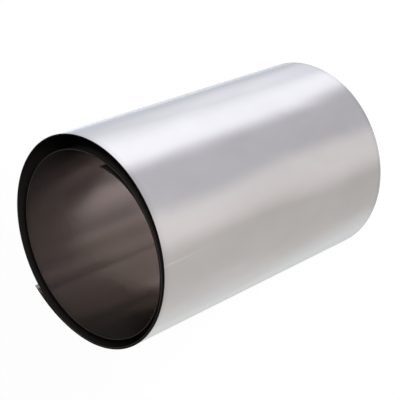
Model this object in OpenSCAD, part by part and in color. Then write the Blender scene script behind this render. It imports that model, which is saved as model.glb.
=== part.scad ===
// Roll of thin metal sheet: one sheet, coiled loosely into two and a half turns.
// It stands on one end. The turns show on both ends, and the middle is open.
// Units are millimetres, and +Z runs along the roll.

/* [Sheet] */
// Width of the sheet, which is the length of the roll
sheet_w = 300; // [100:5:600]
// Thickness of the sheet
sheet_t = 0.8; // [0.4:0.1:1.2]

/* [Roll] */
// Width across the roll at its widest
roll_d = 199; // [120:1:400]
// Smallest gap where two turns lie against each other
turn_gap = 0.4; // [0.2:0.1:2]
// Degrees that the tightly hooked inner end turns through
inner_hook = 42.7; // [10:0.1:80]
// Degrees that the flatter lip at the outer end turns through
outer_lip = 34.9; // [10:0.1:60]
// Degrees that the roll is turned on its axis
roll_turn = 45; // [0:1:359]

/* [Hidden] */
$fn = 240;

// The sheet is a chain of bends, from its inner end to its outer end. The first is the
// hook. Then each is a quarter turn, but the last but one is cut short by the lip.
// Their radii differ, because the real coil is not round. They are shares of its width.
bend_shares = [0.347, 0.422, 0.442, 0.433, 0.440, 0.461, 0.473, 0.498, 0.477, 0.501, 0.479, 0.580];
last = len(bend_shares) - 1;
// Where two turns lie closest, these shares alone put them this share of the width apart.
closest_share = 0.0058;
// The sine and cosine here are 0.8 and 0.6, so that the lip's centre is a round number too.
cut_short = atan2(4, 3);

// Directions in which the bends start and end, as seen from their centres.
joints = concat(
    [inner_hook],
    [for (i = [0 : last - 2]) -90 * i],
    [-90 * (last - 2) - cut_short, -90 * (last - 2) - cut_short - outer_lip]
);

// Sizes along the middle of the sheet's thickness.
middle_d = roll_d - sheet_t;
extra_per_turn = sheet_t + turn_gap - closest_share * middle_d;

// The outer end keeps the roll's width. Turns that need more room move inwards.
// Whole thousandths of a millimetre keep neighbouring bends meeting exactly.
function turns_outside(i) = ((joints[i] + joints[i + 1]) / 2 - joints[last + 1]) / 360;
function bend_r(i) =
    round(1000 * (bend_shares[i] * middle_d - extra_per_turn * turns_outside(i))) / 1000;

// Two bends are tangent where the line through their centres crosses the joint.
function toward(a) = [cos(a), sin(a)];
function bend_centre(i) = i == 0 ? [0, 0] :
    bend_centre(i - 1) + (bend_r(i - 1) - bend_r(i)) * toward(joints[i]);

// A point on the line of a joint. Neighbouring bends are cut along the same two points.
function on_joint(i, radii) =
    bend_centre(min(i, last)) + radii * bend_r(min(i, last)) * toward(joints[i]);

// How far the roll reaches in direction a, measured from the first bend's centre.
function past_start(a, i) = ((joints[i] - a) % 360 + 360) % 360;
function faces(a, i) = past_start(a, i) <= joints[i] - joints[i + 1];
function bend_reach(a, i) = bend_centre(i) * toward(a) + (bend_r(i) + sheet_t / 2)
    * (faces(a, i) ? 1 : max(cos(a - joints[i]), cos(a - joints[i + 1])));
function reach(a) = max([for (i = [0 : last]) bend_reach(a, i)]);

// The roll's middle, so that it stands centred on the origin.
mid_x = (reach(0 - roll_turn) - reach(180 - roll_turn)) / 2;
mid_y = (reach(90 - roll_turn) - reach(270 - roll_turn)) / 2;

// Seen from the end of the roll, a bend is the part of a ring between two joints.
module bend(i) {
    intersection() {
        translate(bend_centre(i))
            difference() {
                circle(r = bend_r(i) + sheet_t / 2);
                circle(r = bend_r(i) - sheet_t / 2);
            }
        polygon([
            on_joint(i, 0.5), on_joint(i, 3),
            on_joint(i + 1, 3), on_joint(i + 1, 0.5)
        ]);
    }
}

// Bends only meet edge to edge, so a spot within the sheet's thickness overlaps both.
module joint_overlap(i) {
    translate(on_joint(i, 1))
        circle(r = sheet_t / 4, $fn = 24);
}

module sheet_roll() {
    color([0.72, 0.70, 0.67])
        translate([-mid_x, -mid_y, 0])
            rotate([0, 0, roll_turn])
                linear_extrude(sheet_w)
                    union() {
                        for (i = [0 : last])
                            bend(i);
                        for (i = [1 : last])
                            joint_overlap(i);
                    }
}

sheet_roll();
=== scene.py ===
import math

import bmesh
import bpy
from mathutils import Matrix, Vector


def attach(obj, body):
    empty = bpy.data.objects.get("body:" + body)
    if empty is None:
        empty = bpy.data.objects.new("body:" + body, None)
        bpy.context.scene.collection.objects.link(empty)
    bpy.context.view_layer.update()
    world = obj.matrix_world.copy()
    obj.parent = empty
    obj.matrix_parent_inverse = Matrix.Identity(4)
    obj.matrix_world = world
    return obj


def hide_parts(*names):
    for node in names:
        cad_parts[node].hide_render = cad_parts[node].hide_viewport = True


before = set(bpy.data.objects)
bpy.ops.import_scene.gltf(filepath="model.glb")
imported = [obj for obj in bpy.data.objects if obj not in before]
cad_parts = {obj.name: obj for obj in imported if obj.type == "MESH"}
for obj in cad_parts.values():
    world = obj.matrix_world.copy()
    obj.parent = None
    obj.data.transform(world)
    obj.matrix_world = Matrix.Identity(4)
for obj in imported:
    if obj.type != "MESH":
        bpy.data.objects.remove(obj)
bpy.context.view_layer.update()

# The sheet, in metres, with the same sizes as the part's source
SHEET_WIDTH = 0.300
SHEET_THICKNESS = 0.0008
EDGE_ROUND = 0.00012        # how far the shear-cut edges are rounded
ROLL_WIDTH = 0.199          # across the roll at its widest
TURN_GAP = 0.0004           # where two turns lie closest
INNER_HOOK = 42.7           # degrees that the first bend turns through
OUTER_LIP = 34.9            # degrees that the last bend turns through
CUT_SHORT = math.degrees(math.atan2(4, 3))      # what the bend before the lip turns through
ROLL_TURN = 45.0            # degrees that the whole coil is turned on its axis

# Each bend's radius is a share of the roll's width. Between the hook and the lip each turns a quarter,
# but the one before the lip is cut short.
BEND_SHARES = (0.347, 0.422, 0.442, 0.433, 0.440, 0.461, 0.473, 0.498, 0.477, 0.501, 0.479, 0.580)
CLOSEST_SHARE = 0.0058      # what these shares alone leave between two turns

# How the mesh is made
STEP = 0.5                  # degrees of bend between two rows of faces
ROWS = 4                    # rows of faces up the sheet
SHARP_EDGE = 20             # degrees between two faces, past which their edge is sharp
ROUNDING = 0.01             # radians by which a point may seem to lie before its bend
NO_LENGTH = 1e-6            # metres along the sheet, under which a face lies across it

# Soft waves that handling left in the outer turn, and one crease. Each lies so far along the sheet and
# up it, reaches so far along and up, and stands out by so much, or in if that is negative.
WAVES = (
    (1.093, 0.063, 0.035, 0.288, 0.0034),
    (1.142, -0.028, 0.038, 0.121, 0.0022),
    (1.143, 0.062, 0.104, 0.280, 0.0025),
    (1.164, 0.241, 0.090, 0.265, 0.0029),
    (1.246, 0.222, 0.079, 0.110, 0.0027),
    (1.280, 0.030, 0.062, 0.300, 0.0019),
    (1.288, 0.193, 0.045, 0.192, -0.0027),
)
CREASE = (1.256, 0.290, 0.004, 0.100, 0.0004)

# The finish of the faces. Each pair runs from clean metal to the film that handling leaves.
FACE_METALLIC = 0.94
FACE_COLOURS = ((0.545, 0.495, 0.475), (0.565, 0.515, 0.495))
FACE_ROUGHNESS = (0.135, 0.175)
FACE_LINES = 420            # rolling lines per metre across the sheet
LINE_ROUGHNESS = 0.015      # what the lines add or take away
LINE_HEIGHT = 0.000002
EDGE_HANDLING = 0.007       # how far from the cut edges the finish is dulled
HANDLED_COLOUR = (0.44, 0.40, 0.38)
HANDLED_SHARE = 0.5

# The finish of the cut edges. The roughness runs over the drag lines.
CUT_METALLIC = 0.85
CUT_COLOURS = ((0.34, 0.30, 0.27), (0.44, 0.40, 0.37))
CUT_ROUGHNESS = (0.3, 0.5)
CUT_LINES = 900

# The room. Each softbox fades in and out at four bearings, in degrees, and adds its colour.
WARM_WALL = (0.76, 0.79, 0.79)
COOL_WALL = (0.76, 0.82, 0.92)
COOLER_FROM = (-30, 60)     # bearings between which the wall turns cool
COOLER_BEHIND = (-175, -150)
DARK_CEILING = (0.03, 0.03, 0.03)
CEILING_LINE = (-0.15, 0.1)                 # heights of gaze between which the wall ends
FALL_OFF = (-0.80, -0.60, 0.95, 1.05)       # two heights of gaze, and the wall's light at each
SOFTBOXES = (
    (70, 97, 110, 176, (0.86, 0.94, 1.04)),         # the key, broad and cool
    (-18, 6, 16, 38, (0.34, 0.34, 0.34)),           # a strip beside the camera
    (-126, -108, -88, -62, (0.14, 0.17, 0.20)),     # a weak fill from below
    (-178, -166, -156, -147, (0.34, 0.36, 0.38)),   # a thin strip behind the roll
)

# The floor, and the part of it inside the roll, where little light gets in
FLOOR_SIZE = 8.0
FLOOR_PAINT = (0.2, 0.2, 0.2)
FLOOR_GLOW = (0.955, 0.955, 0.955)
ROLL_FOOTPRINT = 0.0955     # from the middle to under the outermost turn, all the way round
BORE_SHADE = (0.34, 0.32, 0.31)
BORE_TINT = (1.83, 1.62, 1.52)      # of the studio's light that comes up the bore
BORE_DIMMING = 0.52                 # what it keeps at each bounce

# The lamps, each with its width, power and place, and the camera
OVERHEAD_LAMP = (1.6, 3.0, (0, 0, 1.6))
SIDE_LAMP = (0.6, 10.0, (1.10, 0.85, 0.90))
CAMERA_LENS = 104.8
CAMERA_PLACE = (0.70422, 0.42478, 0.89658)
CAMERA_RIGHT = (0.72410, 0, -0.68970)
CAMERA_UP = (-0.26615, 0.92254, -0.27942)


def toward(degrees):
    angle = math.radians(degrees)
    return Vector((math.cos(angle), math.sin(angle), 0))


def turned_by(degrees):
    return Matrix.Rotation(math.radians(degrees), 3, "Z")


def linked_piece(name, bm):
    mesh = bpy.data.meshes.new(name)
    bm.to_mesh(mesh)
    bm.free()
    piece = bpy.data.objects.new(name, mesh)
    bpy.context.scene.collection.objects.link(piece)
    return piece


def coil_bends():
    """Each bend's middle radius, with the directions in which it starts and ends."""
    middle_width = ROLL_WIDTH - SHEET_THICKNESS
    extra_per_turn = SHEET_THICKNESS + TURN_GAP - CLOSEST_SHARE * middle_width
    joints = [INNER_HOOK] + [-90 * quarter for quarter in range(len(BEND_SHARES) - 2)]
    joints.append(joints[-1] - CUT_SHORT)
    joints.append(joints[-1] - OUTER_LIP)
    bends = []
    for share, start, end in zip(BEND_SHARES, joints, joints[1:]):
        turns_outside = ((start + end) / 2 - joints[-1]) / 360
        bends.append((share * middle_width - extra_per_turn * turns_outside, start, end))
    return bends


def sheet_section(bm, first_radius):
    """The sheet's section, with its corners rounded, standing where the first bend starts."""
    bmesh.ops.create_grid(bm, x_segments=1, y_segments=1, size=0.5)
    bmesh.ops.scale(bm, verts=bm.verts, vec=(SHEET_THICKNESS, SHEET_WIDTH, 1))
    bmesh.ops.rotate(bm, verts=bm.verts, matrix=Matrix.Rotation(math.pi / 2, 3, "X"))
    bmesh.ops.bevel(bm, geom=bm.verts[:], affect="VERTICES", offset=EDGE_ROUND, segments=2,
                    profile=0.5, material=-1)
    for row in range(1, ROWS):
        height = SHEET_WIDTH * (row / ROWS - 0.5)
        bmesh.ops.bisect_plane(bm, geom=bm.verts[:] + bm.edges[:] + bm.faces[:],
                               plane_co=(0, 0, height), plane_no=(0, 0, 1))
    bmesh.ops.translate(bm, verts=bm.verts, vec=(first_radius, 0, SHEET_WIDTH / 2))
    bmesh.ops.rotate(bm, verts=bm.verts, matrix=turned_by(INNER_HOOK))
    return bm.verts[:] + bm.edges[:] + bm.faces[:]


def mark_faces(bm, arc_length):
    """The flat sheet as a UV map, in metres, with the cut edges in their own slot and drawn sharp."""
    flat = bm.loops.layers.uv.new("flat_sheet")
    for face in bm.faces:
        face.smooth = True
        lengths = [vert[arc_length] for vert in face.verts]
        if abs(face.normal.z) > 0.5 or max(lengths) - min(lengths) < NO_LENGTH:
            face.material_index = 1
        for loop in face.loops:
            loop[flat].uv = (loop.vert[arc_length], loop.vert.co.z)
    for edge in bm.edges:
        if edge.is_manifold and edge.calc_face_angle(0) > math.radians(SHARP_EDGE):
            edge.smooth = False


def coil_sheet():
    """Spins the sheet's section round one bend after another, and notes each point's place along it."""
    bends = coil_bends()
    bm = bmesh.new()
    arc_length = bm.verts.layers.float.new("arc_length")
    radius_before = bends[0][0]
    section = sheet_section(bm, radius_before)
    centre = Vector((0, 0, 0))
    run = 0.0
    for radius, start, end in bends:
        centre = centre + (radius_before - radius) * toward(start)
        radius_before = radius
        known = len(bm.verts)
        spun = bmesh.ops.spin(bm, geom=section, cent=centre, axis=(0, 0, 1),
                              angle=math.radians(end - start), steps=math.ceil((start - end) / STEP))
        section = spun["geom_last"]
        bm.verts.ensure_lookup_table()
        first = toward(start)
        for vert in bm.verts[known:]:
            arm = (vert.co - centre) * Vector((1, 1, 0))
            turned = math.atan2(first.cross(-arm).z, first.dot(arm))
            vert[arc_length] = run + radius * (turned if turned > -ROUNDING else turned + 2 * math.pi)
        run += radius * math.radians(start - end)

    bmesh.ops.rotate(bm, verts=bm.verts, matrix=turned_by(ROLL_TURN))
    xs = [vert.co.x for vert in bm.verts]
    ys = [vert.co.y for vert in bm.verts]
    to_middle = (-(min(xs) + max(xs)) / 2, -(min(ys) + max(ys)) / 2, 0)
    bmesh.ops.translate(bm, verts=bm.verts, vec=to_middle)
    bmesh.ops.recalc_face_normals(bm, faces=bm.faces)
    mark_faces(bm, arc_length)
    return linked_piece("coiled_sheet", bm)


def new_group(name, inputs, outputs):
    group = bpy.data.node_groups.new(name, "ShaderNodeTree")
    for label, kind in inputs:
        group.interface.new_socket(label, in_out="INPUT", socket_type=kind)
    for label, kind in outputs:
        group.interface.new_socket(label, in_out="OUTPUT", socket_type=kind)
    nodes = group.nodes
    return group, nodes, group.links, nodes.new("NodeGroupInput"), nodes.new("NodeGroupOutput")


def new_material(name):
    material = bpy.data.materials.new(name)
    material.use_nodes = True
    nodes = material.node_tree.nodes
    return material, nodes, material.node_tree.links, nodes["Principled BSDF"]


def fill(links, socket, value):
    """Links a socket to another node, or sets it. A plain colour gets its alpha."""
    if isinstance(value, bpy.types.NodeSocket):
        links.new(value, socket)
    elif socket.type == "RGBA":
        socket.default_value = (*value, 1)
    else:
        socket.default_value = value


def map_range(nodes, links, value, low, high, at_low, at_high, kind="LINEAR"):
    node = nodes.new("ShaderNodeMapRange")
    node.interpolation_type = kind
    for socket, number in zip(node.inputs[1:5], (low, high, at_low, at_high)):
        socket.default_value = number
    links.new(value, node.inputs["Value"])
    return node.outputs["Result"]


def math_of(nodes, links, operation, first, second=0):
    node = nodes.new("ShaderNodeMath")
    node.operation = operation
    fill(links, node.inputs[0], first)
    fill(links, node.inputs[1], second)
    return node.outputs[0]


def mixed(nodes, links, fac, base, top, kind="MIX"):
    node = nodes.new("ShaderNodeMix")
    node.data_type = "RGBA"
    node.blend_type = kind
    links.new(fac, node.inputs["Factor"])
    fill(links, node.inputs[6], base)
    fill(links, node.inputs[7], top)
    return node.outputs[2]


def scaled(nodes, links, colour, scale):
    node = nodes.new("ShaderNodeVectorMath")
    node.operation = "SCALE"
    fill(links, node.inputs[0], colour)
    links.new(scale, node.inputs["Scale"])
    return node.outputs[0]


def either_shader(nodes, links, choice, at_none, at_full):
    node = nodes.new("ShaderNodeMixShader")
    for socket, value in zip(node.inputs, (choice, at_none, at_full)):
        links.new(value, socket)
    return node.outputs[0]


def rolling_finish():
    """Fine lines along the rolling direction, and the cloudy film of handling. Both run from 0 to 1."""
    group, nodes, links, given, out = new_group(
        "rolling_finish",
        (("Place", "NodeSocketVector"), ("Lines per Metre", "NodeSocketFloat")),
        (("Lines", "NodeSocketFloat"), ("Film", "NodeSocketFloat")))
    # The lines are over eighty times as long as they are wide.
    stretch = nodes.new("ShaderNodeMapping")
    stretch.inputs["Scale"].default_value = (0.012, 1, 1)
    links.new(given.outputs["Place"], stretch.inputs["Vector"])
    lines = nodes.new("ShaderNodeTexNoise")
    lines.inputs["Detail"].default_value = 3
    lines.inputs["Roughness"].default_value = 0.6
    links.new(stretch.outputs[0], lines.inputs["Vector"])
    links.new(given.outputs["Lines per Metre"], lines.inputs["Scale"])
    links.new(lines.outputs["Fac"], out.inputs["Lines"])

    # The film's clouds are a few centimetres across.
    spread = nodes.new("ShaderNodeMapping")
    spread.inputs["Scale"].default_value = (1.6, 0.8, 1)
    links.new(given.outputs["Place"], spread.inputs["Vector"])
    film = nodes.new("ShaderNodeTexNoise")
    film.inputs["Scale"].default_value = 22
    film.inputs["Detail"].default_value = 5
    film.inputs["Roughness"].default_value = 0.55
    film.inputs["Distortion"].default_value = 0.4
    links.new(spread.outputs[0], film.inputs["Vector"])
    clouds = map_range(nodes, links, film.outputs["Fac"], 0.3, 0.7, 0, 1, "SMOOTHSTEP")
    links.new(clouds, out.inputs["Film"])
    return group


def flat_place(nodes):
    place = nodes.new("ShaderNodeUVMap")
    place.uv_map = "flat_sheet"
    return place.outputs["UV"]


def film_and_lines(finish, nodes, links, place, lines_per_metre):
    node = nodes.new("ShaderNodeGroup")
    node.node_tree = finish
    node.inputs["Lines per Metre"].default_value = lines_per_metre
    links.new(place, node.inputs["Place"])
    return node.outputs["Film"], node.outputs["Lines"]


def sheet_waves(nodes, links, place):
    """The height of the waves and the crease, in metres, summed over the sheet."""
    height = 0
    for along, up, reach_along, reach_up, depth in (*WAVES, CREASE):
        centred = nodes.new("ShaderNodeMapping")
        centred.vector_type = "TEXTURE"
        centred.inputs["Location"].default_value = (along, up, 0)
        centred.inputs["Scale"].default_value = (reach_along, reach_up, 1)
        links.new(place, centred.inputs["Vector"])
        cone = nodes.new("ShaderNodeTexGradient")
        cone.gradient_type = "SPHERICAL"
        links.new(centred.outputs[0], cone.inputs["Vector"])
        wave = map_range(nodes, links, cone.outputs["Fac"], 0, 1, 0, depth, "SMOOTHSTEP")
        height = math_of(nodes, links, "ADD", wave, height)
    return height


def mill_titanium(finish):
    """Bright rolled titanium: faint rolling lines, a cloudy film, soft waves and duller edges."""
    material, nodes, links, shader = new_material("mill_titanium")
    shader.inputs["Metallic"].default_value = FACE_METALLIC
    place = flat_place(nodes)
    film, lines = film_and_lines(finish, nodes, links, place, FACE_LINES)

    split = nodes.new("ShaderNodeSeparateXYZ")
    links.new(place, split.inputs[0])
    above_middle = math_of(nodes, links, "SUBTRACT", split.outputs["Y"], SHEET_WIDTH / 2)
    from_middle = math_of(nodes, links, "ABSOLUTE", above_middle)
    from_edge = math_of(nodes, links, "SUBTRACT", SHEET_WIDTH / 2, from_middle)
    by_edge = map_range(nodes, links, from_edge, 0, EDGE_HANDLING, 1, 0, "SMOOTHSTEP")
    handled = math_of(nodes, links, "MULTIPLY", by_edge, HANDLED_SHARE)
    colour = mixed(nodes, links, film, *FACE_COLOURS)
    links.new(mixed(nodes, links, handled, colour, HANDLED_COLOUR), shader.inputs["Base Color"])

    cloudy = map_range(nodes, links, film, 0, 1, *FACE_ROUGHNESS)
    lined = map_range(nodes, links, lines, 0.3, 0.7, -LINE_ROUGHNESS, LINE_ROUGHNESS)
    links.new(math_of(nodes, links, "ADD", cloudy, lined), shader.inputs["Roughness"])

    grain = map_range(nodes, links, lines, 0, 1, 0, LINE_HEIGHT)
    height = math_of(nodes, links, "ADD", sheet_waves(nodes, links, place), grain)
    relief = nodes.new("ShaderNodeBump")
    relief.inputs["Distance"].default_value = 1
    links.new(height, relief.inputs["Height"])
    links.new(relief.outputs[0], shader.inputs["Normal"])
    return material


def sheared_edge(finish):
    """The cut edges, greyer and rougher than the faces, with fine drag lines."""
    material, nodes, links, shader = new_material("sheared_edge")
    shader.inputs["Metallic"].default_value = CUT_METALLIC
    film, lines = film_and_lines(finish, nodes, links, flat_place(nodes), CUT_LINES)
    links.new(mixed(nodes, links, film, *CUT_COLOURS), shader.inputs["Base Color"])
    links.new(map_range(nodes, links, lines, 0.2, 0.8, *CUT_ROUGHNESS), shader.inputs["Roughness"])
    return material


def studio_world():
    """A pale room with softboxes round the roll and a dark ceiling. The camera sees plain white."""
    world = bpy.data.worlds.new("studio")
    bpy.context.scene.world = world
    world.use_nodes = True
    world.cycles.sampling_method = "NONE"
    nodes = world.node_tree.nodes
    links = world.node_tree.links
    nodes.clear()

    direction = nodes.new("ShaderNodeSeparateXYZ")
    links.new(nodes.new("ShaderNodeTexCoord").outputs["Generated"], direction.inputs[0])
    bearing = math_of(nodes, links, "ARCTAN2", direction.outputs["Y"], direction.outputs["X"])
    gaze = direction.outputs["Z"]

    def by_bearing(start, end, at_start=0, at_end=1):
        return map_range(nodes, links, bearing, math.radians(start), math.radians(end),
                         at_start, at_end, "SMOOTHSTEP")

    room = mixed(nodes, links, by_bearing(*COOLER_FROM), WARM_WALL, COOL_WALL)
    room = mixed(nodes, links, by_bearing(*COOLER_BEHIND, 1, 0), room, COOL_WALL)
    for rise, full, fade, end, colour in SOFTBOXES:
        lit_share = math_of(nodes, links, "MULTIPLY", by_bearing(rise, full), by_bearing(fade, end, 1, 0))
        room = mixed(nodes, links, lit_share, room, colour, "ADD")
    room = scaled(nodes, links, room, map_range(nodes, links, gaze, *FALL_OFF, "SMOOTHSTEP"))
    overhead = map_range(nodes, links, gaze, *CEILING_LINE, 0, 1, "SMOOTHSTEP")
    room = mixed(nodes, links, overhead, room, DARK_CEILING)

    lit = nodes.new("ShaderNodeBackground")
    links.new(room, lit.inputs["Color"])
    white = nodes.new("ShaderNodeBackground")
    white.inputs["Color"].default_value = (1, 1, 1, 1)
    to_camera = nodes.new("ShaderNodeLightPath").outputs["Is Camera Ray"]
    shown = either_shader(nodes, links, to_camera, lit.outputs[0], white.outputs[0])
    links.new(shown, nodes.new("ShaderNodeOutputWorld").inputs["Surface"])


def floor_paint():
    """Nearly white by its own glow, with the rest and the shadow left to the lamps.

    The metal looks through the floor, at the softboxes that stand round it. Inside the roll the floor
    is shaded, and the studio's light comes up the bore dimmer at each bounce.
    """
    material, nodes, links, paint = new_material("white_floor")
    paint.inputs["Base Color"].default_value = (*FLOOR_PAINT, 1)
    paint.inputs["Roughness"].default_value = 1
    paint.inputs["Specular IOR Level"].default_value = 0
    paint.inputs["Emission Strength"].default_value = 1

    from_axis = nodes.new("ShaderNodeVectorMath")
    from_axis.operation = "LENGTH"
    links.new(nodes.new("ShaderNodeTexCoord").outputs["Object"], from_axis.inputs[0])
    inside = math_of(nodes, links, "LESS_THAN", from_axis.outputs["Value"], ROLL_FOOTPRINT)
    links.new(mixed(nodes, links, inside, FLOOR_GLOW, BORE_SHADE), paint.inputs["Emission Color"])

    path = nodes.new("ShaderNodeLightPath")
    left = math_of(nodes, links, "POWER", BORE_DIMMING, path.outputs["Ray Depth"])
    from_bore = scaled(nodes, links, BORE_TINT, left)
    clear = nodes.new("ShaderNodeBsdfTransparent")
    links.new(mixed(nodes, links, inside, (1, 1, 1), from_bore), clear.inputs["Color"])
    seen = either_shader(nodes, links, path.outputs["Is Glossy Ray"], paint.outputs[0], clear.outputs[0])
    links.new(seen, nodes["Material Output"].inputs["Surface"])
    return material


def studio_floor():
    bm = bmesh.new()
    bmesh.ops.create_grid(bm, x_segments=1, y_segments=1, size=FLOOR_SIZE / 2)
    floor = linked_piece("floor", bm)
    floor.data.materials.append(floor_paint())


def soft_lamp(name, width, power, place):
    """A round softbox that faces the roll's middle. The metal doesn't mirror it."""
    data = bpy.data.lights.new(name, "AREA")
    data.shape = "DISK"
    data.size = width
    data.energy = power
    lamp = bpy.data.objects.new(name, data)
    lamp.location = place
    lamp.rotation_euler = Vector(place).to_track_quat("Z", "Y").to_euler()
    lamp.visible_glossy = False
    bpy.context.scene.collection.objects.link(lamp)


def camera():
    data = bpy.data.cameras.new("camera")
    data.sensor_width = 36
    data.lens = CAMERA_LENS
    data.clip_start = 0.05
    data.clip_end = 50
    cam = bpy.data.objects.new("camera", data)
    right = Vector(CAMERA_RIGHT)
    up = Vector(CAMERA_UP)
    place = Matrix((right, up, right.cross(up))).transposed().to_4x4()
    place.translation = Vector(CAMERA_PLACE)
    cam.matrix_world = place
    bpy.context.scene.collection.objects.link(cam)
    bpy.context.scene.camera = cam


camera()
studio_world()
soft_lamp("overhead_softbox", *OVERHEAD_LAMP)
soft_lamp("side_softbox", *SIDE_LAMP)
studio_floor()
sheet = coil_sheet()
finish = rolling_finish()
sheet.data.materials.append(mill_titanium(finish))
sheet.data.materials.append(sheared_edge(finish))
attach(sheet, "root")
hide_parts("sheet_roll")

bpy.context.scene.view_settings.view_transform = "Standard"
